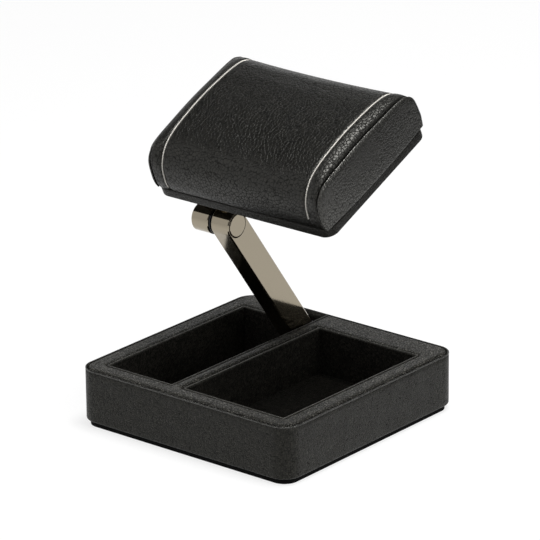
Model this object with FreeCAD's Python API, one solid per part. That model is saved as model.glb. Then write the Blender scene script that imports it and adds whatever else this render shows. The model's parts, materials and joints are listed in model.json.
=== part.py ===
import FreeCAD, Part
import math
import os

# Travel watch stand, drawn in millimetres: X to the right, Y to the back, Z up.
# The origin is the middle of the footprint, on the surface that the stand rests on.
# It has a square leather-covered tray with two open compartments, a metal arm that
# folds down into the left compartment, and a watch cushion on a hinge at the arm's top.

Vector = FreeCAD.Vector

# Tray: outside size and heights
tray_width = 118.0
tray_depth = 118.0
tray_corner = 8.5
plinth_height = 2.4
plinth_inset = 1.8
floor_board_thickness = 2.0
wall_top = 26.6
rim_top = 27.1
wall_skin = 1.1
skin_bottom_bevel = 0.9
skin_top_bevel = 0.3

# Tray: rim panel and the walls that stand under it
rim_gap = 0.1
rim_width = 9.7
rim_back_width = 16.0
rim_thickness = 2.5
rim_skin = 0.9
rim_bevel = 0.6
window_bevel = 0.35
divider_left = -12.9
divider_thickness = 7.4
liner_thickness = 0.6
liner_drop = 0.8
pad_thickness = 1.0
pad_gap = 0.1

# Arm
arm_thickness = 10.1
arm_half_width = 6.3
arm_length = 90.7
arm_lean = 36.07
arm_bevel = 0.5
arm_side_gap = 1.0
foot_to_back_wall = 7.4

# Foot hinge
pin_radius = 2.5
running_clearance = 0.03
side_clearance = 0.05
bush_wall = 1.1
foot_washer_radius = 5.4
bracket_sheet = 1.2
bracket_end_gap = 0.3
bracket_corner = 3.0
stop_pin_radius = 1.5
stop_pin_height = 6.0

# Head hinge
barrel_radius = 6.4
barrel_width = 9.4
barrel_bevel = 0.35
washer_gap = 1.6
washer_thickness = 0.45
friction_washer_radius = 5.5
steel_washer_radius = 6.1
cap_radius = 5.15
cap_groove = 0.5
cap_depth = 1.3
cap_stand_out = 0.25
cap_bevel = 0.15
nut_radius = 4.1
nut_thickness = 1.8
nut_bore_gap = 0.4
nut_bore_depth = 2.2

# Bracket under the cushion: the barrel hangs from a web at the front of a flat leaf
hinge_set_back = 6.9
hinge_drop = 14.4
web_start = 9.9
leaf_thickness = 2.0
leaf_side_margin = 1.0
leaf_back = 31.0
leaf_corner = 2.0
fold_gap = 0.3

# Cushion
cushion_tilt = 24.35
cushion_length = 96.8
cushion_depth = 72.9
base_thickness = 4.6
base_corner = 5.5
base_bevel = 0.6
base_skin = 0.9
cushion_height = 29.6
crown_rise = 0.2
stitch_offset = 39.9
seam_offset = 46.3
seam_drop = 3.3
seam_curve = 2.0
seam_corner = 0.7
middle_back_corner = 1.24
stitch_back_corner = 1.12
seam_back_corner = 1.0
body_overhang = 0.8
stitch_overhang = 0.6
stitch_height = 29.3
seam_overhang = 0.5
cover_thickness = 1.2
cap_seam_gap = 0.25
end_cap_height = 26.2
end_cap_overhang = 0.4
end_cap_round = 1.6
end_cap_stand_out = 0.9
end_cap_steps = 2
cap_board_thickness = 0.8
cap_board_margin = 3.0
cap_board_lift = 1.0

# Screws
foot_screw_radius = 1.25
foot_screw_spacing = 8.4
foot_screw_head = 2.3
foot_screw_length = 3.1
leaf_screw_radius = 1.5
leaf_screw_head = 2.8
leaf_screw_length = 5.0
leaf_screw_margin = 5.0
leaf_screw_spacing = 9.0

# Places that follow from the sizes above
half_width = tray_width / 2
half_depth = tray_depth / 2
floor_top = plinth_height + floor_board_thickness
rim_bottom = rim_top - rim_thickness
skin_inner_x = half_width - wall_skin
skin_inner_y = half_depth - wall_skin
skin_inner_corner = tray_corner - wall_skin
window_left = -half_width + rim_width
window_right = half_width - rim_width
window_front = -half_depth + rim_width
window_back = half_depth - rim_back_width
divider_right = divider_left + divider_thickness
arm_right = divider_left - arm_side_gap
arm_left = arm_right - arm_thickness
slot_right = divider_left
slot_left = arm_left - arm_side_gap
foot_y = skin_inner_y - foot_to_back_wall
foot_z = rim_top + fold_gap - hinge_drop
head_y = foot_y - arm_length * math.sin(math.radians(arm_lean))
head_z = foot_z + arm_length * math.cos(math.radians(arm_lean))
barrel_right = arm_left - washer_gap
barrel_left = barrel_right - barrel_width
cushion_half = cushion_length / 2
cushion_middle = cushion_depth / 2


# Helpers

def block(x0, x1, y0, y1, z0, z1, corner=0.0):
    """A box with rounded upright corners."""
    solid = Part.makeBox(x1 - x0, y1 - y0, z1 - z0, Vector(x0, y0, z0))
    if corner > 0:
        solid = solid.makeFillet(corner, upright_edges(solid))
    return solid


def upright_edges(solid):
    found = []
    for edge in solid.Edges:
        first, last = edge.Vertexes[0].Point, edge.Vertexes[-1].Point
        if abs(first.x - last.x) < 1e-6 and abs(first.y - last.y) < 1e-6:
            found.append(edge)
    return found


def level_edges(solid, z, inside=None):
    """Edges that lie flat at height z, only those in the box inside if it is given."""
    found = []
    for edge in solid.Edges:
        box = edge.BoundBox
        if abs(box.ZMin - z) > 1e-5 or abs(box.ZMax - z) > 1e-5:
            continue
        if inside:
            x0, x1, y0, y1 = inside
            if box.XMin < x0 or box.XMax > x1 or box.YMin < y0 or box.YMax > y1:
                continue
        found.append(edge)
    return found


def edges_at_x(solid, x):
    return [edge for edge in solid.Edges
            if abs(edge.BoundBox.XMin - x) < 1e-5 and abs(edge.BoundBox.XMax - x) < 1e-5]


def rod(x0, x1, y, z, radius):
    """A round bar along X."""
    return Part.makeCylinder(radius, x1 - x0, Vector(x0, y, z), Vector(1, 0, 0))


def ring(x0, x1, y, z, radius, bore):
    return rod(x0, x1, y, z, radius).cut(rod(x0, x1, y, z, bore))


def countersunk_screw(x, y, z, up, radius, head, length):
    """A screw whose flat head lies at z and whose tip points along Z, up or down."""
    way = 1 if up else -1
    sink = head - radius
    profile = Part.makePolygon([
        Vector(x, y, z), Vector(x + head, y, z), Vector(x + radius, y, z + way * sink),
        Vector(x + radius, y, z + way * length), Vector(x, y, z + way * length), Vector(x, y, z)])
    return Part.Face(profile).revolve(Vector(x, y, z), Vector(0, 0, 1), 360)


def cut_all(solid, tools):
    for tool in tools:
        solid = solid.cut(tool)
    return solid


def in_cushion_frame(solid):
    """Moves a piece drawn flat, with its front bottom edge at the origin, to the tilted cushion."""
    turn = FreeCAD.Rotation(Vector(1, 0, 0), cushion_tilt)
    hinge = turn.multVec(Vector(0, hinge_set_back, -hinge_drop))
    place = FreeCAD.Placement(Vector(0, head_y, head_z) - hinge, turn)
    placed = solid.copy()
    placed.Placement = place
    return placed


def save(name, solids):
    shape = solids[0] if len(solids) == 1 else Part.makeCompound(solids)
    shape.exportStep("parts/" + name + ".step")


# Tray bottom: plinth, floor board and the screws that hold the foot bracket

def foot_screws():
    x = (slot_left + slot_right) / 2
    z = floor_top + bracket_sheet
    return [countersunk_screw(x, y, z, False, foot_screw_radius, foot_screw_head, foot_screw_length)
            for y in (foot_y - foot_screw_spacing / 2, foot_y + foot_screw_spacing / 2)]


def plinth():
    x = half_width - plinth_inset
    y = half_depth - plinth_inset
    return block(-x, x, -y, y, 0, plinth_height, tray_corner - plinth_inset)


def floor_board():
    solid = block(-skin_inner_x, skin_inner_x, -skin_inner_y, skin_inner_y,
                  plinth_height, floor_top, skin_inner_corner)
    return cut_all(solid, foot_screws())


# Tray walls: boards that stand on the floor board, and the leather around them

def side_board(side):
    board = block(-skin_inner_x, skin_inner_x, -skin_inner_y, skin_inner_y,
                  floor_top, rim_bottom, skin_inner_corner)
    inner = window_right if side > 0 else -window_left
    start = inner if side > 0 else -skin_inner_x
    strip = block(start, start + skin_inner_x - inner, -skin_inner_y, skin_inner_y,
                  floor_top, rim_bottom)
    return board.common(strip)


def front_board():
    return block(window_left, window_right, -skin_inner_y, window_front, floor_top, rim_bottom)


def back_board(x0, x1):
    return block(x0, x1, window_back, skin_inner_y, floor_top, rim_bottom)


def divider_board():
    return block(divider_left, divider_right, window_front, window_back, floor_top, rim_bottom)


def wall_leather():
    solid = block(-half_width, half_width, -half_depth, half_depth,
                  plinth_height, wall_top, tray_corner)
    solid = solid.makeChamfer(skin_bottom_bevel, level_edges(solid, plinth_height))
    solid = solid.makeChamfer(skin_top_bevel, level_edges(solid, wall_top))
    return solid.cut(block(-skin_inner_x, skin_inner_x, -skin_inner_y, skin_inner_y,
                           plinth_height, wall_top, skin_inner_corner))


# Rim panel: a board frame with two windows and the arm's slot, wrapped in padded leather

def rim_cutters(grow, z0, z1):
    back = half_depth
    return [
        block(window_left - grow, divider_left + grow, window_front - grow, window_back + grow, z0, z1),
        block(divider_right - grow, window_right + grow, window_front - grow, window_back + grow, z0, z1),
        block(slot_left - grow, slot_right + grow, window_back - rim_width, back, z0, z1),
    ]


def rim_board():
    x = skin_inner_x - rim_gap - rim_skin
    y = skin_inner_y - rim_gap - rim_skin
    top = rim_top - rim_skin
    solid = block(-x, x, -y, y, rim_bottom, top, skin_inner_corner - rim_gap - rim_skin)
    return cut_all(solid, rim_cutters(rim_skin, rim_bottom, top))


def rim_leather():
    x = skin_inner_x - rim_gap
    y = skin_inner_y - rim_gap
    solid = block(-x, x, -y, y, rim_bottom, rim_top, skin_inner_corner - rim_gap)
    solid = solid.makeChamfer(rim_bevel, level_edges(solid, rim_top))
    solid = cut_all(solid, rim_cutters(0, rim_bottom, rim_top))
    edges = level_edges(solid, rim_top, (window_left - 0.01, window_right + 0.01,
                                         window_front - 0.01, window_back + 0.01))
    solid = solid.makeChamfer(window_bevel, edges)
    return solid.cut(rim_board())


# Compartment linings

def liner(x0, x1):
    top = rim_top - liner_drop
    wall = block(x0, x1, window_front, window_back, floor_top, top)
    inside = block(x0 + liner_thickness, x1 - liner_thickness,
                   window_front + liner_thickness, window_back - liner_thickness, floor_top, top)
    return wall.cut(inside)


def left_liner():
    slot = block(slot_left, slot_right, window_back - liner_thickness, window_back, floor_top, rim_top)
    return liner(window_left, divider_left).cut(slot)


def right_liner():
    return liner(divider_right, window_right)


def floor_pad(x0, x1):
    gap = liner_thickness + pad_gap
    return block(x0 + gap, x1 - gap, window_front + gap, window_back - gap,
                 floor_top, floor_top + pad_thickness)


# Foot hinge: a channel in the slot, its pin and its washers

def foot_bracket():
    y0 = window_back + bracket_end_gap
    y1 = skin_inner_y - bracket_end_gap
    left = slot_left - bracket_sheet
    right = slot_right + bracket_sheet
    channel = block(left, right, y0, y1, floor_top, floor_top + bracket_sheet)
    for x in (left, slot_right):
        cheek = block(x, x + bracket_sheet, y0, y1, floor_top, rim_bottom)
        top = [edge for edge in edges_along_x(cheek) if edge.BoundBox.ZMin > floor_top + 1]
        channel = channel.fuse(cheek.makeFillet(bracket_corner, top))
    channel = channel.removeSplitter().cut(foot_pin()).cut(foot_stop_pin())
    return cut_all(channel, foot_screws())


def edges_along_x(solid):
    return [edge for edge in solid.Edges
            if edge.BoundBox.YLength < 1e-5 and edge.BoundBox.ZLength < 1e-5]


def foot_pin():
    return rod(slot_left - bracket_sheet, slot_right + bracket_sheet, foot_y, foot_z, pin_radius)


def foot_stop_pin():
    """A pin behind the arm that ends its travel at the open pose."""
    lean = math.radians(arm_lean)
    out = arm_half_width + side_clearance + stop_pin_radius
    y = foot_y + out * math.cos(lean) - stop_pin_height * math.sin(lean)
    z = foot_z + out * math.sin(lean) + stop_pin_height * math.cos(lean)
    return rod(slot_left - bracket_sheet, slot_right + bracket_sheet, y, z, stop_pin_radius)


def foot_washers():
    return [
        ring(slot_left, arm_left - side_clearance, foot_y, foot_z, foot_washer_radius, pin_radius),
        ring(arm_right + side_clearance, slot_right, foot_y, foot_z, foot_washer_radius, pin_radius),
    ]


# Arm: a straight bar with round ends, its bush and the head pin that is fixed in it

def bush_radius():
    return pin_radius + running_clearance + bush_wall


def arm():
    lean = math.radians(arm_lean)
    across = Vector(0, math.cos(lean), math.sin(lean)) * arm_half_width
    along = Vector(0, -math.sin(lean), math.cos(lean)) * arm_half_width
    foot = Vector(arm_left, foot_y, foot_z)
    head = Vector(arm_left, head_y, head_z)
    outline = Part.Wire([
        Part.makeLine(foot + across, head + across),
        Part.Arc(head + across, head + along, head - across).toShape(),
        Part.makeLine(head - across, foot - across),
        Part.Arc(foot - across, foot - along, foot + across).toShape(),
    ])
    bar = Part.Face(outline).extrude(Vector(arm_thickness, 0, 0))
    bar = bar.makeChamfer(arm_bevel, edges_at_x(bar, arm_left) + edges_at_x(bar, arm_right))
    bar = bar.cut(rod(arm_left, arm_right, foot_y, foot_z, bush_radius()))
    bar = bar.cut(rod(arm_left, arm_right, head_y, head_z, pin_radius))
    recess = rod(arm_right - cap_depth, arm_right, head_y, head_z, cap_radius + cap_groove)
    return bar.cut(recess)


def foot_bush():
    return ring(arm_left, arm_right, foot_y, foot_z, bush_radius(), pin_radius + running_clearance)


def head_pin():
    cap = rod(arm_right - cap_depth, arm_right + cap_stand_out, head_y, head_z, cap_radius)
    cap = cap.makeChamfer(cap_bevel, edges_at_x(cap, arm_right + cap_stand_out))
    tip = barrel_left + nut_bore_depth - side_clearance - nut_thickness
    shank = rod(tip, arm_right - cap_depth, head_y, head_z, pin_radius)
    return cap.fuse(shank).removeSplitter()


def head_nut():
    seat = barrel_left + nut_bore_depth - side_clearance
    return ring(seat - nut_thickness, seat, head_y, head_z, nut_radius, pin_radius)


def head_washer_starts():
    """Left faces of the three washers between barrel and arm, with even gaps."""
    gap = (washer_gap - 3 * washer_thickness) / 4
    return [barrel_right + gap + k * (washer_thickness + gap) for k in range(3)]


def friction_washers():
    first, _, last = head_washer_starts()
    return [ring(x, x + washer_thickness, head_y, head_z, friction_washer_radius, pin_radius)
            for x in (first, last)]


def steel_washer():
    x = head_washer_starts()[1]
    return ring(x, x + washer_thickness, head_y, head_z, steel_washer_radius, pin_radius)


# Head bracket, drawn in the cushion's flat frame

def leaf_screws():
    x = (barrel_left + barrel_right) / 2
    last = leaf_back - leaf_screw_margin
    return [countersunk_screw(x, y, -leaf_thickness, True, leaf_screw_radius, leaf_screw_head,
                              leaf_screw_length)
            for y in (last - leaf_screw_spacing, last)]


def head_bracket():
    barrel = rod(barrel_left, barrel_right, hinge_set_back, -hinge_drop, barrel_radius)
    ends = edges_at_x(barrel, barrel_left) + edges_at_x(barrel, barrel_right)
    barrel = barrel.makeChamfer(barrel_bevel, ends)
    web = block(barrel_left, barrel_right, web_start, hinge_set_back + barrel_radius,
                -hinge_drop, -leaf_thickness)
    leaf = block(barrel_left - leaf_side_margin, barrel_right + leaf_side_margin,
                 web_start, leaf_back, -leaf_thickness, 0, leaf_corner)
    bore = rod(barrel_left, barrel_right, hinge_set_back, -hinge_drop, pin_radius + running_clearance)
    recess = rod(barrel_left, barrel_left + nut_bore_depth, hinge_set_back, -hinge_drop,
                 nut_radius + nut_bore_gap)
    solid = barrel.fuse([web, leaf]).removeSplitter().cut(bore).cut(recess)
    return cut_all(solid, leaf_screws())


# Cushion base plate: a board wrapped in leather

def base_board():
    solid = block(-cushion_half + base_skin, cushion_half - base_skin,
                  base_skin, cushion_depth - base_skin,
                  base_skin, base_thickness - base_skin, base_corner - base_skin)
    return cut_all(solid, leaf_screws())


def base_leather():
    solid = block(-cushion_half, cushion_half, 0, cushion_depth, 0, base_thickness, base_corner)
    edges = level_edges(solid, 0) + level_edges(solid, base_thickness)
    solid = solid.makeChamfer(base_bevel, edges)
    hollow = block(-cushion_half + base_skin, cushion_half - base_skin,
                   base_skin, cushion_depth - base_skin,
                   base_skin, base_thickness - base_skin, base_corner - base_skin)
    return cut_all(solid.cut(hollow), leaf_screws())


# Cushion body: a crowned form, drawn in a little at its two stitched lines, that falls
# away from there to the end seams

def cushion_outline(x, overhang, top, corner, back_corner, inset):
    """The outline across X: five arcs from the front bottom edge over the top to the back.
    Corner and back_corner scale the rounding of the front and back top corners."""
    low = base_thickness
    front = inset - overhang
    back = cushion_depth - front
    top = top - inset
    points = [Vector(x, y, z) for y, z in (
        (front + 1.1, low),
        (front, low + 6.5),
        (front + 1.4 * corner, top - 11.0 * corner),
        (front + 6.0 * corner, top - 5.2 * corner),
        (front + 13.4 * corner, top - 2.0 * corner),
        (cushion_middle, top),
        (back - 13.4 * back_corner, top - 1.4 * back_corner),
        (back - 6.6 * back_corner, top - 3.4 * back_corner),
        (back - 1.6 * back_corner, top - 8.6 * back_corner),
        (back, low + 6.5),
        (back - 0.7, low))]
    arcs = [Part.Arc(*points[k:k + 3]).toShape() for k in range(0, 9, 2)]
    return Part.Wire(arcs + [Part.makeLine(points[-1], points[0])])


def mirrored_loft(sections, inset):
    """A straight-sided loft along X through sections, each given as the first five arguments of
    cushion_outline, and their mirror images."""
    left = [(-place[0],) + place[1:] for place in reversed(sections) if place[0] > 0]
    return Part.makeLoft([cushion_outline(*place, inset) for place in left + sections], True, True)


def band_section(share):
    """The section between stitches and end seam, share of the way out."""
    x = stitch_offset + (seam_offset - stitch_offset) * share
    top = cushion_height - seam_drop * share ** seam_curve
    corner = 1 + (seam_corner - 1) * share
    back_corner = stitch_back_corner + (seam_back_corner - stitch_back_corner) * share
    return x, seam_overhang, top, corner, back_corner


def cushion_core():
    return mirrored_loft([band_section(0.4), band_section(1.0)], cover_thickness)


def cushion_cover():
    outer = mirrored_loft([
        (0.0, body_overhang, cushion_height + crown_rise, 1.0, middle_back_corner),
        (stitch_offset - 2.5, body_overhang, cushion_height, 1.0, stitch_back_corner),
        (stitch_offset, stitch_overhang, stitch_height, 1.0, stitch_back_corner),
        band_section(0.35),
        band_section(0.7),
        band_section(1.0),
    ], 0.0)
    return outer.cut(cushion_core())


def cap_section(x, inset):
    return cushion_outline(x, end_cap_overhang, end_cap_height, seam_corner, seam_corner, inset)


def cap_board(side):
    x = side * (seam_offset + cap_seam_gap)
    board = Part.Face(cap_section(x, cap_board_margin)).extrude(Vector(side * cap_board_thickness, 0, 0))
    low = base_thickness + cap_board_lift
    return board.cut(block(-cushion_half, cushion_half, 0, cushion_depth, base_thickness, low))


def end_cap(side):
    """A padded panel whose outer edge is rounded in steps of a quarter circle."""
    start = seam_offset + cap_seam_gap
    sections = [cap_section(side * start, 0.0)]
    for step in range(end_cap_steps + 1):
        turn = math.radians(90.0 * step / end_cap_steps)
        x = cushion_half + end_cap_stand_out - end_cap_round * (1 - math.sin(turn))
        sections.append(cap_section(side * x, end_cap_round * (1 - math.cos(turn))))
    pad = Part.makeLoft(sections, True, True)
    return pad.cut(cap_board(side))


def main():
    os.makedirs("parts", exist_ok=True)

    save("plinth_plate", [plinth()])
    save("floor_board", [floor_board()])
    save("front_wall_board", [front_board()])
    save("left_wall_board", [side_board(-1)])
    save("right_wall_board", [side_board(1)])
    save("back_wall_board_left", [back_board(window_left, slot_left - bracket_sheet)])
    save("back_wall_board_right", [back_board(slot_right + bracket_sheet, window_right)])
    save("divider_board", [divider_board()])
    save("wall_leather", [wall_leather()])
    save("rim_board", [rim_board()])
    save("rim_leather", [rim_leather()])
    save("left_tray_liner", [left_liner()])
    save("right_tray_liner", [right_liner()])
    save("left_floor_pad", [floor_pad(window_left, divider_left)])
    save("right_floor_pad", [floor_pad(divider_right, window_right)])

    save("foot_bracket", [foot_bracket()])
    save("foot_bracket_screws", foot_screws())
    save("foot_pin", [foot_pin()])
    save("foot_stop_pin", [foot_stop_pin()])
    save("foot_washers", foot_washers())

    save("arm", [arm()])
    save("foot_bush", [foot_bush()])
    save("head_pin", [head_pin()])
    save("head_nut", [head_nut()])
    save("head_friction_washers", friction_washers())
    save("head_steel_washer", [steel_washer()])

    cushion_pieces = {
        "head_bracket": head_bracket(),
        "cushion_base_board": base_board(),
        "cushion_base_leather": base_leather(),
        "cushion_core": cushion_core(),
        "cushion_cover": cushion_cover(),
        "left_end_cap": end_cap(-1),
        "right_end_cap": end_cap(1),
        "left_cap_board": cap_board(-1),
        "right_cap_board": cap_board(1),
    }
    for name, solid in cushion_pieces.items():
        save(name, [in_cushion_frame(solid)])
    save("head_bracket_screws", [in_cushion_frame(screw) for screw in leaf_screws()])


main()
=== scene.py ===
import json
import math

import bpy
from mathutils import Matrix, Vector


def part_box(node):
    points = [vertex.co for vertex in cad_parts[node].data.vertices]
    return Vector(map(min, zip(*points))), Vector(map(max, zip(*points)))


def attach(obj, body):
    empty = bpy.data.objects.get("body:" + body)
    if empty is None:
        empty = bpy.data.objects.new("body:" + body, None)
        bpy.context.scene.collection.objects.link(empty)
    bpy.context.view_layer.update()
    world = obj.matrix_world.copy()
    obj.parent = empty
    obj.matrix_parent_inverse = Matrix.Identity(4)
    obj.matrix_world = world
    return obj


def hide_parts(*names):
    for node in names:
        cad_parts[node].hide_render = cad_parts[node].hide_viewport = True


# Travel watch stand: grained leather over boards, a dark nickel hinge and a padded, stitched cushion

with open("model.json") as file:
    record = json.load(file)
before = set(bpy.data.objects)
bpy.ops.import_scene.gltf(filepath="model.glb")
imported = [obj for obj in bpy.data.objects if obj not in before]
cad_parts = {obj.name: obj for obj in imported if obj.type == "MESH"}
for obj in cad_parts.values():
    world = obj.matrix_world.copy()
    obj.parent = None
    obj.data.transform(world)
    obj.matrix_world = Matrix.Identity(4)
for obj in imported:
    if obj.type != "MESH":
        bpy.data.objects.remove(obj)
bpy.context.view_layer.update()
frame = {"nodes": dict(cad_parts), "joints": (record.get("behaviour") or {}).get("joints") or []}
mm = 0.001

# Sizes that the frame gives
wall_low, wall_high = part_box("wall_leather")
rim_low, rim_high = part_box("rim_leather")
left_low, left_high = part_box("left_tray_liner")
right_low, right_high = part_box("right_tray_liner")
cheek_low, cheek_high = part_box("foot_bracket")
cap_low, cap_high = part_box("right_end_cap")
plate_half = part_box("cushion_base_leather")[1].x
seam_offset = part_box("cushion_cover")[1].x
hinge = next(Vector(joint["pos_m"]) for joint in frame["joints"] if joint["name"] == "cushion_tilt")

# Sizes of the wall's leather and of the lip along its top
wall_corner = 8.5 * mm
wall_thickness = 0.7 * mm
wall_under_lip = 3.0 * mm
wall_roll = 1.0 * mm
wall_rows = (0.12, 0.3, 0.5, 0.7, 0.85)
wall_lip_half = 0.33 * mm
wall_lip_depth = 0.6 * mm
wall_lip_bulge = 0.08 * mm

# Sizes of the rim, of the slot through it and of the lips round its openings
rim_corner = 7.0 * mm
rim_edge = 1.7 * mm
rim_edge_steps = 6
rim_rise = 1.0 * mm
rim_gap = 0.3 * mm
slot_wall = 1.2 * mm
pad_gap = 1.05 * mm
divider_pad_gap = 2.2 * mm
lip_half = 0.35 * mm
lip_depth = 1.6 * mm
lip_drop = 0.15 * mm
lip_corner = 1.0 * mm

# How the cushion sits on its hinge
cushion_slope = math.radians(24.35)
hinge_set_back = 6.9 * mm
hinge_drop = 14.4 * mm
cushion_turn = Matrix.Rotation(cushion_slope, 3, "X")
cushion_origin = Vector((0, hinge.y, hinge.z)) - cushion_turn @ Vector((0, hinge_set_back, -hinge_drop))

# Sizes of the cushion's plate
plate_depth = 72.9 * mm
plate_thickness = 4.6 * mm
plate_corner = 5.5 * mm
plate_edge = 0.6 * mm
plate_edge_steps = 6

# Sizes of the cushion's outline: its tucked foot, its full sides, and its crown as shares of the depth
body_height = 29.6 * mm
body_overhang = 0.8 * mm
front_tuck = 1.1 * mm
back_tuck = 0.7 * mm
low_tuck = 0.3 * mm
low_tuck_height = 2.5 * mm
full_height = 6.5 * mm
crown_start = 0.33
crown_end = 0.67
crown_drop = 0.55 * mm
outline_steps = 8

# How far in from the side and below the top the outline passes as it rounds a top corner
front_round = ((1.4 * mm, 11.0 * mm), (6.0 * mm, 5.2 * mm), (13.4 * mm, 2.0 * mm))
back_round = ((13.4 * mm, 1.4 * mm), (6.6 * mm, 3.4 * mm), (1.6 * mm, 8.6 * mm))

# How the outline changes towards the ends: the corner sizes scale the rounding of a top corner
body_crown = 0.2 * mm
body_spans = 60
stitch_offset = 39.9 * mm
channel_depth = 0.45 * mm
channel_width = 0.8 * mm
channel_spacing = 0.2 * mm
channel_rows = 8
seam_drop = 2.2 * mm
seam_roll = 1.1 * mm
seam_roll_steps = 8
seam_corner = 0.7
middle_back_corner = 1.24
stitch_back_corner = 1.12
seam_back_corner = 0.93

# Sizes of the end caps: the back edge holds an inset and a distance from the seam for each loop
cap_start = cap_low.x
cap_height = 26.4 * mm
cap_overhang = 0.9 * mm
cap_back_corner = 0.78
cap_back_edge = ((0.5 * mm, 0.0), (0.1 * mm, 0.15 * mm), (0.0, 0.4 * mm))
cap_round = 2.4 * mm
cap_base_share = 0.25
cap_roll = 1.05 * mm
cap_roll_steps = 8
cap_dome = 1.3 * mm
cap_rows = 16

# Sizes of the thread: spread and lift in ply radii, and the bare length at each end of a line
ply_radius = 0.22 * mm
ply_spread = 0.8
ply_lift = 1.4
ply_sides = 6
thread_pitch = 1.4 * mm
steps_per_pitch = 10
left_thread_margin = 2.4 * mm
right_thread_margin = 6.0 * mm

# Sizes that several pieces share
metal_edge = 0.25 * mm
sharp_angle = math.radians(40)
same_place_digits = 7


# Mesh helpers

def smooth_path(points, steps):
    """Points on a smooth curve through an open row of points."""
    row = [points[0] * 2 - points[1]] + points + [points[-1] * 2 - points[-2]]
    path = []
    for k in range(1, len(row) - 2):
        a, b, c, d = row[k - 1:k + 3]
        for step in range(steps):
            t = step / steps
            path.append(0.5 * (2 * b + (c - a) * t + (2 * a - 5 * b + 4 * c - d) * t ** 2
                               + (3 * b - a - 3 * c + d) * t ** 3))
    path.append(points[-1])
    return path


def new_piece(name, vertices, faces, material, body):
    """A smooth-shaded mesh of one material that moves with a CAD body."""
    mesh = bpy.data.meshes.new(name)
    mesh.from_pydata(vertices, [], faces)
    mesh.update()
    mesh.polygons.foreach_set("use_smooth", [True] * len(mesh.polygons))
    piece = bpy.data.objects.new(name, mesh)
    bpy.context.collection.objects.link(piece)
    mesh.materials.append(material)
    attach(piece, body)
    return piece


def skin_loops(loops, close_first=True, close_last=True):
    """Vertices and faces of a skin over a row of closed loops with equal point counts."""
    count = len(loops[0])
    vertices = [point for loop in loops for point in loop]
    faces = []
    for row in range(len(loops) - 1):
        for k in range(count):
            n = (k + 1) % count
            faces.append((row * count + k, row * count + n, (row + 1) * count + n, (row + 1) * count + k))
    if close_first:
        faces.append(tuple(reversed(range(count))))
    if close_last:
        faces.append(tuple(range((len(loops) - 1) * count, len(loops) * count)))
    return vertices, faces


def welded(vertices, faces):
    """Joins vertices that share a place, and leaves out the faces that lose their area by it."""
    kept = []
    index_at = {}
    joined = []
    for vertex in vertices:
        place = tuple(round(c, same_place_digits) for c in vertex)
        if place not in index_at:
            index_at[place] = len(kept)
            kept.append(vertex)
        joined.append(index_at[place])
    corners = [tuple(dict.fromkeys(joined[k] for k in face)) for face in faces]
    return kept, [face for face in corners if len(face) > 2]


def rounded_rectangle(x0, x1, y0, y1, corner, z, along=10, around=12):
    """A level loop, anticlockwise, with evenly divided sides and corners."""
    loop = []
    centres = [(x1 - corner, y0 + corner, -90), (x1 - corner, y1 - corner, 0),
               (x0 + corner, y1 - corner, 90), (x0 + corner, y0 + corner, 180)]
    for k, (cx, cy, start) in enumerate(centres):
        arc = [Vector((cx + corner * math.cos(math.radians(start + 90 * step / around)),
                       cy + corner * math.sin(math.radians(start + 90 * step / around)), z))
               for step in range(around + 1)]
        loop += arc
        nx, ny, turn = centres[(k + 1) % 4]
        begin = Vector((nx + corner * math.cos(math.radians(turn)),
                        ny + corner * math.sin(math.radians(turn)), z))
        loop += [arc[-1].lerp(begin, step / along) for step in range(1, along)]
    return loop


def round_corners(points, radius, closed=True, steps=6):
    """The path with each corner turned into an arc-like curve that starts radius before it."""
    path = []
    for k, corner in enumerate(points):
        if not closed and k in (0, len(points) - 1):
            path.append(corner)
            continue
        begin = corner + (points[k - 1] - corner).normalized() * radius
        end = corner + (points[(k + 1) % len(points)] - corner).normalized() * radius
        for step in range(steps + 1):
            t = step / steps
            path.append(begin * (1 - t) ** 2 + corner * 2 * t * (1 - t) + end * t ** 2)
    return path


def moulding(path, half, depth, closed, degrees=20, least_mitre=0.5):
    """A strip with a rounded top and straight sides that follows a level path at its top's centre."""
    profile = [(half * math.cos(math.radians(a)), half * math.sin(math.radians(a)) - half)
               for a in range(0, 181, degrees)]
    profile += [(-half, -depth), (half, -depth)]
    loops = []
    for k, point in enumerate(path):
        before = path[k - 1] if closed or k > 0 else point * 2 - path[k + 1]
        after = path[(k + 1) % len(path)] if closed or k < len(path) - 1 else point * 2 - path[k - 1]
        first = (point - before).normalized()
        second = (after - point).normalized()
        along = (first + second).normalized()
        across = Vector((along.y, -along.x, 0)) / max(least_mitre, along.dot(second))
        loops.append([point + across * out + Vector((0, 0, up)) for out, up in profile])
    if closed:
        loops.append(loops[0])
    return skin_loops(loops, not closed, not closed)


def quarter(steps):
    """Pairs from (1, 0) to (0, 1) round a quarter circle: what is left of the inset, and the rise."""
    return [(1 - math.sin(math.pi / 2 * step / steps), 1 - math.cos(math.pi / 2 * step / steps))
            for step in range(steps + 1)]


def to_cushion(point):
    """From the cushion's flat frame, with its front bottom edge at the origin, to its place."""
    return cushion_origin + cushion_turn @ point


# Node helpers

def new_material(name, colour, roughness, metallic=0.0, specular=0.5):
    material = bpy.data.materials.new(name)
    material.use_nodes = True
    shader = material.node_tree.nodes["Principled BSDF"]
    shader.inputs["Base Color"].default_value = (*colour, 1)
    shader.inputs["Roughness"].default_value = roughness
    shader.inputs["Metallic"].default_value = metallic
    shader.inputs["Specular IOR Level"].default_value = specular
    return material, material.node_tree, shader


def add(tree, kind, **settings):
    """A new node, each setting given to its input of that name or else to its property."""
    node = tree.nodes.new(kind)
    for name, value in settings.items():
        if name in node.inputs:
            node.inputs[name].default_value = value
        else:
            setattr(node, name, value)
    return node


def object_position(tree):
    return add(tree, "ShaderNodeTexCoord").outputs["Object"]


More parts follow.
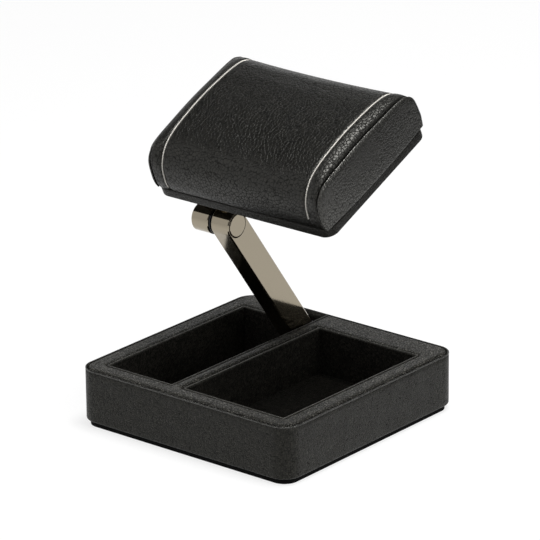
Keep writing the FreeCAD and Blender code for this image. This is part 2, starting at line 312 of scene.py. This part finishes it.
def ramp(tree, value, start, end, at_start, at_end):
    """A value that goes from at_start to at_end while the given one goes from start to end."""
    node = add(tree, "ShaderNodeMapRange")
    tree.links.new(value, node.inputs["Value"])
    node.inputs["From Min"].default_value = start
    node.inputs["From Max"].default_value = end
    node.inputs["To Min"].default_value = at_start
    node.inputs["To Max"].default_value = at_end
    return node.outputs["Result"]


def math_node(tree, operation, *values):
    """The result of a sum, with plain numbers set on its sockets and other values linked to them."""
    node = add(tree, "ShaderNodeMath", operation=operation)
    for socket, value in zip(node.inputs, values):
        if isinstance(value, (int, float)):
            socket.default_value = value
        else:
            tree.links.new(value, socket)
    return node.outputs["Value"]


def noise(tree, position, **settings):
    node = add(tree, "ShaderNodeTexNoise", **settings)
    tree.links.new(position, node.inputs["Vector"])
    return node


def add_bump(tree, shader, height, strength, depth):
    bump = add(tree, "ShaderNodeBump", Strength=strength, Distance=depth)
    tree.links.new(height, bump.inputs["Height"])
    tree.links.new(bump.outputs["Normal"], shader.inputs["Normal"])
    return bump


# Materials

# The span that a noise mostly stays in
noise_span = (0.3, 0.7)

# Leather: scales against the grain's, heights against the relief's, and what its creases lose: roughness,
# shine, and colour, darkened as painted shade
warp_scale = 0.35
warp_reach = 0.9
pore_scale = 3.1
wave_scale = 0.08
dome_height = 0.7
crease_height = 0.6
pore_height = 0.15
wave_height = 0.7
crease_roughness = 0.14
crease_shine = 0.25
painted_crease_shade = 0.35
shine_tint = (1.0, 0.985, 0.92, 1)


def pebbles(tree, position, grain):
    """The cells of a grain that a slower noise bends out of line, and the distance to their edges."""
    warp = noise(tree, position, Scale=grain * warp_scale, Detail=2.0)
    bend = add(tree, "ShaderNodeVectorMath", operation="MULTIPLY_ADD")
    tree.links.new(warp.outputs["Color"], bend.inputs[0])
    bend.inputs[1].default_value = (warp_reach / grain,) * 3
    tree.links.new(position, bend.inputs[2])
    cells = add(tree, "ShaderNodeTexVoronoi", feature="F1", Scale=grain)
    edges = add(tree, "ShaderNodeTexVoronoi", feature="DISTANCE_TO_EDGE", Scale=grain)
    for texture in (cells, edges):
        tree.links.new(bend.outputs["Vector"], texture.inputs["Vector"])
    return cells, edges.outputs["Distance"]


def leather_height(tree, distance, crease, pores, waves):
    """Domed pebbles with creases between them, pores on top and broad unevenness below."""
    dome = math_node(tree, "SUBTRACT", 1.0, math_node(tree, "POWER", distance, 2.0))
    sunk = math_node(tree, "MULTIPLY", crease, crease_height)
    height = math_node(tree, "MULTIPLY_ADD", dome, dome_height, sunk)
    height = math_node(tree, "MULTIPLY_ADD", pores, pore_height, height)
    return math_node(tree, "MULTIPLY_ADD", waves, wave_height, height)


def leather_colour(tree, colour, cells, crease, tone_and_painted_glint):
    """The colour, with painted shade darkening the creases and some pebbles lighter by random tone and
    painted glints.
    """
    each = add(tree, "ShaderNodeSeparateColor")
    tree.links.new(cells.outputs["Color"], each.inputs["Color"])
    tone = add(tree, "ShaderNodeMix", data_type="RGBA")
    tree.links.new(math_node(tree, "MULTIPLY", crease, each.outputs["Red"]), tone.inputs["Factor"])
    # Painted shade: the creases take a darker copy of the colour
    factors = {"A": painted_crease_shade, "B": tone_and_painted_glint}
    for socket in tone.inputs:
        if socket.type == "RGBA":
            socket.default_value = (*(c * factors[socket.name] for c in colour), 1)
    return next(socket for socket in tone.outputs if socket.type == "RGBA")


def leather(name, colour, roughness, specular, grain, depth, tone_and_painted_glint=2.4, crease_width=0.12):
    """Pebbled leather with grain pebbles to the metre, a relief of that depth and finer pores.
    The pebbles' lightness setting is how much lighter the lightest pebbles are than the colour, partly
    random tone and partly painted glints, and crease_width is the width of a crease as a share of a
    pebble."""
    material, tree, shader = new_material(name, colour, roughness, specular=specular)
    shader.inputs["Specular Tint"].default_value = shine_tint
    position = object_position(tree)
    cells, edge_distance = pebbles(tree, position, grain)
    crease = ramp(tree, edge_distance, 0.0, crease_width, 0.0, 1.0)
    pores = noise(tree, position, Scale=grain * pore_scale, Detail=3.0, Roughness=0.6).outputs["Fac"]
    waves = noise(tree, position, Scale=grain * wave_scale, Detail=2.0).outputs["Fac"]
    height = leather_height(tree, cells.outputs["Distance"], crease, pores, waves)
    add_bump(tree, shader, height, 1.0, depth)
    rubbed = ramp(tree, waves, *noise_span, roughness - 0.03, roughness + 0.05)
    dull = ramp(tree, crease, 0.0, 1.0, crease_roughness, 0.0)
    tree.links.new(math_node(tree, "ADD", rubbed, dull), shader.inputs["Roughness"])
    shine = ramp(tree, crease, 0.0, 1.0, crease_shine * specular, specular)
    tree.links.new(shine, shader.inputs["Specular IOR Level"])
    tree.links.new(leather_colour(tree, colour, cells, crease, tone_and_painted_glint), shader.inputs["Base Color"])
    return material


def polished_metal(name, colour, roughness):
    """Plated metal with softened edges and faint polishing marks and smears in its shine."""
    material, tree, shader = new_material(name, colour, roughness, metallic=1.0)
    position = object_position(tree)
    smears = noise(tree, position, Scale=90.0, Detail=4.0, Distortion=0.6).outputs["Fac"]
    tree.links.new(ramp(tree, smears, *noise_span, roughness, roughness + 0.06),
                   shader.inputs["Roughness"])
    marks = noise(tree, position, Scale=2600.0, Detail=2.0).outputs["Fac"]
    bump = add_bump(tree, shader, marks, 0.03, 0.02 * mm)
    soft_edge = add(tree, "ShaderNodeBevel", Radius=metal_edge, samples=8)
    tree.links.new(soft_edge.outputs["Normal"], bump.inputs["Normal"])
    return material


def fine_noise_material(name, colour, roughness, scale, depth, metallic=0.0, specular=0.5):
    """A plain hard or woven surface with a fine uneven texture."""
    material, tree, shader = new_material(name, colour, roughness, metallic, specular)
    grain = noise(tree, object_position(tree), Scale=scale, Detail=3.0).outputs["Fac"]
    tree.links.new(ramp(tree, grain, *noise_span, roughness - 0.05, roughness + 0.08),
                   shader.inputs["Roughness"])
    add_bump(tree, shader, grain, 0.4, depth)
    return material


# The lighter pebbles are partly random tone and partly painted glints, strongest on the rim
tray_leather = leather("tray_leather", (0.009, 0.0087, 0.0070), roughness=0.40, specular=0.29,
                       grain=1300, depth=0.22 * mm, tone_and_painted_glint=3.5)
rim_material = leather("rim_leather", (0.012, 0.0115, 0.0096), roughness=0.34, specular=0.64,
                       grain=950, depth=0.65 * mm, tone_and_painted_glint=9.0, crease_width=0.32)
edge_leather = leather("edge_leather", (0.026, 0.0250, 0.0210), roughness=0.26, specular=1.00,
                       grain=2000, depth=0.04 * mm)
cushion_leather = leather("cushion_leather", (0.004, 0.0038, 0.0030), roughness=0.34, specular=0.42,
                          grain=640, depth=0.13 * mm, tone_and_painted_glint=2.0)
cap_leather = leather("cap_leather", (0.004, 0.0038, 0.0030), roughness=0.26, specular=0.9,
                      grain=850, depth=0.12 * mm, tone_and_painted_glint=2.0)
plate_leather = leather("plate_leather", (0.005, 0.0047, 0.0037), roughness=0.34, specular=0.25,
                        grain=1100, depth=0.18 * mm, tone_and_painted_glint=3.0)
lining_leather = leather("lining_leather", (0.009, 0.0085, 0.0070), roughness=0.50, specular=0.14,
                         grain=1100, depth=0.22 * mm, tone_and_painted_glint=3.0)
dark_nickel = polished_metal("dark_nickel", (0.29, 0.255, 0.195), roughness=0.07)
# Painted shade: the steel washer in the hinge is near black, so the gap between barrel and arm head reads
# as shaded
gap_shade_steel = polished_metal("gap_shade_steel", (0.030, 0.030, 0.034), roughness=0.22)
zinc_steel = polished_metal("zinc_steel", (0.50, 0.50, 0.51), roughness=0.30)
bush_brass = polished_metal("bush_brass", (0.70, 0.48, 0.20), roughness=0.25)
black_nylon = fine_noise_material("black_nylon", (0.012, 0.012, 0.012), roughness=0.5,
                                  scale=3000.0, depth=0.02 * mm)
plinth_black = fine_noise_material("plinth_black", (0.003, 0.003, 0.003), roughness=0.80,
                                   scale=2500.0, depth=0.03 * mm, specular=0.08)
board_fibre = fine_noise_material("board_fibre", (0.010, 0.009, 0.007), roughness=0.85,
                                  scale=1800.0, depth=0.1 * mm, specular=0.1)
silver_thread = fine_noise_material("silver_thread", (0.84, 0.81, 0.75), roughness=0.38,
                                    scale=9000.0, depth=0.05 * mm, metallic=0.35)


# Tray

def tray_wall():
    """The leather skin round the tray, from under its lip to a rolled edge below."""
    x, y = wall_high.x, wall_high.y
    low, high = wall_low.z, wall_high.z
    profile = [(wall_thickness, high - wall_under_lip), (wall_thickness, high - wall_lip_half)]
    profile += [(0, high - wall_lip_half)]
    profile += [(0, high - (high - low) * share) for share in wall_rows]
    profile += [(wall_roll * (1 - math.cos(math.radians(a))),
                 low + wall_roll * (1 - math.sin(math.radians(a)))) for a in (0, 30, 60, 90)]
    profile += [(wall_corner / 2, low)]
    loops = [rounded_rectangle(-x + inset, x - inset, -y + inset, y - inset, wall_corner - inset, z)
             for inset, z in reversed(profile)]
    vertices, faces = skin_loops(loops, False, False)
    piece = new_piece("tray_wall", vertices, faces, tray_leather, "base")
    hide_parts("wall_leather")


def slot_sides():
    """The slot's left and right faces, between the cheeks of the foot bracket."""
    return cheek_low.x + slot_wall, cheek_high.x - slot_wall


def opening_path(out, divider_out, z):
    """The right compartment's edge, moved out, with its own amount on the divider's side."""
    left, right = right_low.x - divider_out, right_high.x + out
    front, back = right_low.y - out, right_high.y + out
    return [Vector((x, y, z)) for x, y in ((left, front), (right, front), (right, back), (left, back))]


def slot_path(out, z):
    """From the back down the slot's right side, round the left compartment, and back up the slot."""
    slot_left, slot_right = slot_sides()
    back = rim_high.y - rim_gap
    corners = ((slot_right + out, back), (slot_right + out, left_low.y - out),
               (left_low.x - out, left_low.y - out), (left_low.x - out, left_high.y + out),
               (slot_left - out, left_high.y + out), (slot_left - out, back))
    return [Vector((x, y, z)) for x, y in corners]


def rim_paths():
    """The pad's two outlines. One runs round the tray and, through the slot, round the left
    opening, the other round the right opening. They stay clear of the lips."""
    x, y = rim_high.x - rim_gap, rim_high.y - rim_gap
    outer = rounded_rectangle(-x, x, -y, y, rim_corner, 0)
    slot_left, slot_right = slot_sides()
    on_back = y - 0.001 * mm
    turn = next(k for k, p in enumerate(outer) if p.y > on_back and p.x <= slot_left - pad_gap)
    start = next(k for k, p in enumerate(outer) if p.y > on_back and p.x <= slot_right + pad_gap)
    corner = lip_corner + pad_gap / 2
    inner = round_corners(slot_path(pad_gap, 0), corner, closed=False)
    window = round_corners(opening_path(pad_gap, divider_pad_gap, 0), corner)
    return outer[turn:] + outer[:start] + inner, window


def rim():
    """The padded rim: its outlines filled, thickened and rounded, and then flattened to its rise."""
    flatten = rim_rise / rim_edge
    curve = bpy.data.curves.new("rim_outline", "CURVE")
    curve.dimensions = "2D"
    curve.fill_mode = "BOTH"
    curve.bevel_depth = rim_edge
    curve.bevel_resolution = rim_edge_steps
    curve.offset = -rim_edge
    curve.extrude = (rim_high.z - rim_low.z) / 2 / flatten - rim_edge
    for path in rim_paths():
        spline = curve.splines.new("POLY")
        spline.points.add(len(path) - 1)
        for point, place in zip(spline.points, path):
            point.co = (*place, 1)
        spline.use_cyclic_u = True
    solid = bpy.data.objects.new("rim_outline", curve)
    mesh = bpy.data.meshes.new_from_object(solid)
    bpy.data.objects.remove(solid)
    middle = (rim_high.z + rim_low.z) / 2
    vertices = [Vector((v.co.x, v.co.y, middle + v.co.z * flatten)) for v in mesh.vertices]
    faces = [tuple(p.vertices) for p in mesh.polygons]
    piece = new_piece("padded_rim", vertices, faces, rim_material, "base")
    piece.data.set_sharp_from_angle(angle=sharp_angle)
    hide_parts("rim_leather")


def wall_lip():
    """The turned leather edge along the wall's top."""
    inset = wall_lip_half - wall_lip_bulge
    x, y = wall_high.x - inset, wall_high.y - inset
    path = rounded_rectangle(-x, x, -y, y, wall_corner - inset, wall_high.z + wall_lip_bulge)
    vertices, faces = moulding(path, wall_lip_half, wall_lip_depth, True)
    new_piece("wall_lip", vertices, faces, cap_leather, "base")


def opening_lips():
    """The turned leather edges round both compartments. The left one stays open at the slot's back."""
    top = rim_high.z - lip_drop
    right_path = round_corners(opening_path(lip_half, lip_half, top), lip_corner)
    left_path = round_corners(slot_path(lip_half, top), lip_corner, closed=False)
    for name, path, closed in (("right_opening_lip", right_path, True),
                               ("left_opening_lip", left_path, False)):
        vertices, faces = moulding(path, lip_half, lip_depth, closed)
        new_piece(name, vertices, faces, edge_leather, "base")


# Cushion

def body_outline(x, overhang, top, front_scale, back_scale):
    """The cushion's outline across X: front bottom edge, over the top, to the back bottom edge.
    The scales are for the rounding of its front and back top corners."""
    low = plate_thickness
    front = -overhang
    back = plate_depth + overhang
    flat = top - crown_drop * front_scale
    outline = [(front + front_tuck, low), (front + low_tuck, low + low_tuck_height)]
    outline += [(front, low + full_height)]
    outline += [(front + inset * front_scale, top - drop * front_scale) for inset, drop in front_round]
    outline += [(plate_depth * crown_start, flat), (plate_depth / 2, top), (plate_depth * crown_end, flat)]
    outline += [(back - inset * back_scale, top - drop * back_scale) for inset, drop in back_round]
    outline += [(back, low + full_height)]
    outline += [(back - low_tuck, low + low_tuck_height), (back - back_tuck, low)]
    return smooth_path([Vector((x, y, z)) for y, z in outline], outline_steps)


def body_at(x):
    """The outline at x, with the channel at the stitches, the full band beyond and the rolled end."""
    away = abs(x)
    channel = channel_depth * math.exp(-((away - stitch_offset) / channel_width) ** 2)
    share = max(0.0, (away - stitch_offset) / (seam_offset - stitch_offset))
    roll = 0.0
    if away > seam_offset - seam_roll:
        part = (away - seam_offset + seam_roll) / seam_roll
        roll = seam_roll * (1 - math.sqrt(max(0.0, 1 - part ** 2)))
    middle = 1 - min(1.0, away / stitch_offset) ** 2
    overhang = body_overhang - channel - roll
    top = body_height + body_crown * middle - channel - seam_drop * share ** 2 - roll
    back_corner = (stitch_back_corner + (middle_back_corner - stitch_back_corner) * middle
                   + (seam_back_corner - stitch_back_corner) * share)
    return body_outline(x, overhang, top, 1 - (1 - seam_corner) * share, back_corner)


def body_stations():
    """Where along X the outline is taken: evenly, and closer at the channels and the rolled ends."""
    even = [-seam_offset + 2 * seam_offset * k / body_spans for k in range(body_spans + 1)]
    close = [stitch_offset + step * channel_spacing for step in range(-channel_rows, channel_rows + 1)]
    close += [seam_offset - seam_roll * left for left, _ in quarter(seam_roll_steps)]
    return sorted(set(round(x, 6) for x in even + close + [-x for x in close]))


def cushion_body():
    loops = [[to_cushion(p) for p in body_at(x)] for x in body_stations()]
    vertices, faces = skin_loops(loops)
    piece = new_piece("cushion_body", vertices, faces, cushion_leather, "cushion")
    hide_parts("cushion_cover")


def inset_loop(loop, count, amount, x):
    """The cap's loop moved inwards and to x, its base line by less. Points that would pass a corner
    of the base line stop at it."""
    arch = []
    for k in range(count):
        along = (loop[min(k + 1, count - 1)] - loop[max(k - 1, 0)]).normalized()
        arch.append(Vector((x, loop[k].y - along.z * amount, loop[k].z + along.y * amount)))
    low = loop[0].z + cap_base_share * amount
    back = Vector((x, arch[0].y, low))
    front = Vector((x, arch[-1].y, low))
    for k, point in enumerate(arch):
        if point.z < low or k in (0, count - 1):
            arch[k] = back if k < count / 2 else front
    base = [Vector((x, min(back.y, max(front.y, point.y)), low)) for point in loop[count:]]
    return arch + base


def cap_swell(y, z):
    """How far the cap's face stands out at a place: most at the middle of its bottom edge."""
    along = (y - plate_depth / 2) / (plate_depth / 2)
    up = (z - plate_thickness) / (cap_height - plate_thickness)
    return cap_dome * max(0.0, 1 - along ** 2) * max(0.0, 1 - up ** 2)


def cap_outline():
    """A loop with equal counts above and below: back over the top to the front, then the base line."""
    over = list(reversed(body_outline(0, cap_overhang, cap_height, seam_corner, cap_back_corner)))
    count = len(over)
    base = []
    for k in range(1, count - 1):
        even = k / (count - 1)
        behind = (over[k].y - over[0].y) / (over[-1].y - over[0].y)
        base.append(over[0].lerp(over[-1], (even + min(1.0, max(0.0, behind))) / 2))
    return over + list(reversed(base)), count


def cap_face(vertices, first, count, rows):
    """Fills the loop that starts at vertex first with strips from its base line up to its top."""
    columns = [[first] * (rows + 1)]
    for k in range(1, count - 1):
        low, high = first + 2 * count - 2 - k, first + k
        column = [low]
        for row in range(1, rows):
            column.append(len(vertices))
            vertices.append(vertices[low].lerp(vertices[high], row / rows))
        columns.append(column + [high])
    columns.append([first + count - 1] * (rows + 1))
    faces = []
    for a, b in zip(columns, columns[1:]):
        for row in range(rows):
            corners = (a[row], a[row + 1], b[row + 1], b[row])
            faces.append(tuple(dict.fromkeys(corners)))
    return faces


def end_cap(name, side, node):
    """A padded panel with a rolled edge and a swelling face."""
    outline, count = cap_outline()
    face_x = cap_high.x - cap_dome
    loops = [inset_loop(outline, count, inset, cap_start + out) for inset, out in cap_back_edge]
    for left, rise in quarter(cap_roll_steps):
        loops.append(inset_loop(outline, count, cap_round * rise, face_x - cap_roll * left))
    vertices, faces = skin_loops(loops, close_last=False)
    faces += cap_face(vertices, len(vertices) - len(outline), count, cap_rows)
    for p in vertices:
        p.x += cap_swell(p.y, p.z) * (p.x - cap_start) / (face_x - cap_start)
    placed = [to_cushion(Vector((side * p.x, p.y, p.z))) for p in vertices]
    placed, faces = welded(placed, faces)
    if side > 0:
        faces = [tuple(reversed(face)) for face in faces]
    piece = new_piece(name, placed, faces, cap_leather, "cushion")
    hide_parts(node)


def plate():
    """The leather-wrapped board under the cushion, with rolled edges."""
    levels = [(rise, plate_edge * left) for left, rise in reversed(quarter(plate_edge_steps))]
    levels += [(rise, plate_thickness - plate_edge * left) for left, rise in quarter(plate_edge_steps)]
    loops = []
    for rise, z in levels:
        inset = plate_edge * rise
        loop = rounded_rectangle(-plate_half + inset, plate_half - inset, inset, plate_depth - inset,
                                 plate_corner - inset, z)
        loops.append([to_cushion(p) for p in loop])
    vertices, faces = skin_loops(loops)
    piece = new_piece("cushion_plate", vertices, faces, plate_leather, "cushion")
    piece.data.set_sharp_from_angle(angle=sharp_angle)
    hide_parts("cushion_base_leather")


def ply_loops(path, centre, margin, start):
    """Loops round one ply of thread, which winds round the path and starts at the given turn."""
    walk = [0.0]
    for a, b in zip(path, path[1:]):
        walk.append(walk[-1] + (b - a).length)
    length = walk[-1] - 2 * margin
    count = int(length / (thread_pitch / steps_per_pitch))
    across = Vector((1, 0, 0))
    loops = []
    k = 0
    for step in range(count + 1):
        walked = margin + length * step / count
        while walk[k + 1] < walked:
            k += 1
        point = path[k].lerp(path[k + 1], (walked - walk[k]) / (walk[k + 1] - walk[k]))
        out = (path[k + 1] - path[k]).normalized().cross(across)
        if out.dot(point - centre) < 0:
            out = -out
        turn = start + 2 * math.pi * walked / thread_pitch
        lift = across * math.cos(turn) + out * (ply_lift + math.sin(turn))
        core = point + lift * ply_radius * ply_spread
        angles = [2 * math.pi * corner / ply_sides for corner in range(ply_sides)]
        loops.append([core + (across * math.cos(a) + out * math.sin(a)) * ply_radius for a in angles])
    return loops


def stitching(name, side, margin):
    """Two plies of pale thread twisted round each other, lying in the channel."""
    path = [to_cushion(p) for p in body_at(side * stitch_offset)]
    centre = to_cushion(Vector((side * stitch_offset, plate_depth / 2, plate_thickness)))
    vertices = []
    faces = []
    for start in (0.0, math.pi):
        ply_vertices, ply_faces = skin_loops(ply_loops(path, centre, margin, start), False, False)
        faces += [tuple(len(vertices) + k for k in face) for face in ply_faces]
        vertices += ply_vertices
    new_piece(name, vertices, faces, silver_thread, "cushion")


def dress_cad_nodes():
    """Gives the CAD nodes their materials. Those that aren't listed are boards and fillings."""
    looks = {
        "plinth_plate": plinth_black,
        "left_tray_liner": lining_leather, "right_tray_liner": lining_leather,
        "left_floor_pad": lining_leather, "right_floor_pad": lining_leather,
        "arm": dark_nickel, "head_pin": dark_nickel, "head_bracket": dark_nickel,
        "head_steel_washer": gap_shade_steel, "head_friction_washers": black_nylon,
        "foot_washers": black_nylon, "foot_bush": bush_brass,
        "foot_bracket": zinc_steel, "foot_bracket_screws": zinc_steel, "foot_pin": zinc_steel,
        "foot_stop_pin": zinc_steel, "head_nut": zinc_steel, "head_bracket_screws": zinc_steel,
    }
    for name, node in frame["nodes"].items():
        material = looks.get(name, board_fibre)
        for slot in node.material_slots:
            slot.material = material


# Studio

def add_camera():
    """The camera at the photo's angle, fitted to the tray's straight edges."""
    azimuth, elevation, roll = math.radians(39.633), math.radians(20.192), math.radians(-0.591)
    distance = 1.89258
    shift_right, shift_up = -0.00073, -0.06377
    toward = Vector((math.sin(azimuth) * math.cos(elevation), -math.cos(azimuth) * math.cos(elevation),
                     math.sin(elevation)))
    level = (-toward).cross(Vector((0, 0, 1))).normalized()
    upright = level.cross(-toward)
    right = level * math.cos(roll) + upright * math.sin(roll)
    up = upright * math.cos(roll) - level * math.sin(roll)
    camera = bpy.data.objects.new("camera", bpy.data.cameras.new("camera"))
    camera.data.sensor_width = 36.0
    camera.data.lens = 286.87
    camera.data.clip_end = 20
    rotation = Matrix((right, up, toward)).transposed().to_4x4()
    place = toward * distance - right * shift_right - up * shift_up
    camera.matrix_world = Matrix.Translation(place) @ rotation
    bpy.context.collection.objects.link(camera)
    bpy.context.scene.camera = camera


def strength_by_ray(tree, camera, mirrored, lighting):
    """Strength for rays from the camera, for rays in reflections and for all other rays."""
    rays = add(tree, "ShaderNodeLightPath")
    in_mirror = math_node(tree, "MAXIMUM", rays.outputs["Is Glossy Ray"],
                          rays.outputs["Is Transmission Ray"])
    strength = lighting
    for chosen, value in ((rays.outputs["Is Camera Ray"], camera), (in_mirror, mirrored)):
        mix = add(tree, "ShaderNodeMix")
        for socket, given in zip(mix.inputs, (chosen, None, strength, value)):
            if isinstance(given, (int, float)):
                socket.default_value = given
            elif given is not None:
                tree.links.new(given, socket)
        strength = mix.outputs["Result"]
    return strength


def add_world():
    """A white studio whose right wall is grey and whose ceiling is dark on the left and at the back.
    Only reflections show it: the camera sees white, and the light that it gives is even."""
    world = bpy.data.worlds.new("studio")
    world.use_nodes = True
    bpy.context.scene.world = world
    tree = world.node_tree
    background = tree.nodes["Background"]
    background.inputs["Color"].default_value = (1, 1, 1, 1)
    split = add(tree, "ShaderNodeSeparateXYZ")
    tree.links.new(add(tree, "ShaderNodeTexCoord").outputs["Generated"], split.inputs["Vector"])
    x, y, z = split.outputs
    lean = 0.45
    height = math_node(tree, "MULTIPLY_ADD", y, lean, z)
    wall = ramp(tree, height, start=0.38, end=0.66, at_start=0.9, at_end=0.04)
    right_wall = ramp(tree, x, start=0.2, end=0.55, at_start=1.0, at_end=0.2)
    right_ceiling = ramp(tree, x, start=-0.45, end=-0.1, at_start=0.0, at_end=0.85)
    overhead = ramp(tree, z, start=0.3, end=0.7, at_start=0.0, at_end=1.0)
    walls = math_node(tree, "MULTIPLY", wall, right_wall)
    shown = math_node(tree, "MULTIPLY_ADD", right_ceiling, overhead, walls)
    strength = strength_by_ray(tree, camera=1.0, mirrored=shown, lighting=0.35)
    tree.links.new(strength, background.inputs["Strength"])


def floor_glow(tree):
    """White to the camera. In reflections it fades with distance, and goes dark at the back right."""
    back_right = (0.64, 0.77, 0)
    distance = add(tree, "ShaderNodeVectorMath", operation="LENGTH")
    reach = add(tree, "ShaderNodeVectorMath", operation="DOT_PRODUCT")
    reach.inputs[1].default_value = back_right
    for measure in (distance, reach):
        tree.links.new(object_position(tree), measure.inputs[0])
    near = ramp(tree, distance.outputs["Value"], start=0.16, end=0.40, at_start=0.88, at_end=0.78)
    darker = ramp(tree, reach.outputs["Value"], start=0.28, end=0.45, at_start=1.0, at_end=0.0)
    shown = math_node(tree, "MULTIPLY", near, darker)
    return strength_by_ray(tree, camera=0.78, mirrored=shown, lighting=0.0)


def floor_material():
    """A surface that glows, with a diffuse part that takes a faint shadow."""
    material = bpy.data.materials.new("floor")
    material.use_nodes = True
    tree = material.node_tree
    tree.nodes.clear()
    diffuse = add(tree, "ShaderNodeBsdfDiffuse", Color=(0.25, 0.25, 0.25, 1))
    glow = add(tree, "ShaderNodeEmission", Color=(1, 1, 1, 1))
    tree.links.new(floor_glow(tree), glow.inputs["Strength"])
    both = add(tree, "ShaderNodeAddShader")
    tree.links.new(diffuse.outputs["BSDF"], both.inputs[0])
    tree.links.new(glow.outputs["Emission"], both.inputs[1])
    output = add(tree, "ShaderNodeOutputMaterial")
    tree.links.new(both.outputs["Shader"], output.inputs["Surface"])
    return material


def add_floor():
    reach = 6.0
    mesh = bpy.data.meshes.new("floor")
    mesh.from_pydata([(-reach, -reach, 0), (reach, -reach, 0), (reach, reach, 0), (-reach, reach, 0)],
                     [], [(0, 1, 2, 3)])
    floor = bpy.data.objects.new("floor", mesh)
    bpy.context.collection.objects.link(floor)
    floor.data.materials.append(floor_material())


def add_softbox(name, place, size, power):
    """A square lamp that faces the middle of the stand."""
    target = Vector((0, 0, 0.08))
    lamp = bpy.data.lights.new(name, "AREA")
    lamp.shape = "SQUARE"
    lamp.size = size
    lamp.energy = power
    light = bpy.data.objects.new(name, lamp)
    light.location = place
    light.rotation_euler = (target - Vector(place)).to_track_quat("-Z", "Y").to_euler()
    bpy.context.collection.objects.link(light)


dress_cad_nodes()
tray_wall()
rim()
wall_lip()
opening_lips()
cushion_body()
end_cap("left_cap", -1, "left_end_cap")
end_cap("right_cap", 1, "right_end_cap")
plate()
stitching("left_stitching", -1, left_thread_margin)
stitching("right_stitching", 1, right_thread_margin)
add_camera()
add_world()
add_floor()
add_softbox("top_light", (0.16, 0.06, 1.2), size=0.4, power=9.5)
add_softbox("back_light", (-0.75, 0.95, 0.50), size=0.4, power=0.6)
add_softbox("side_light", (1.1, 0.1, 0.5), size=0.6, power=3.0)

bpy.context.scene.view_settings.view_transform = "Standard"
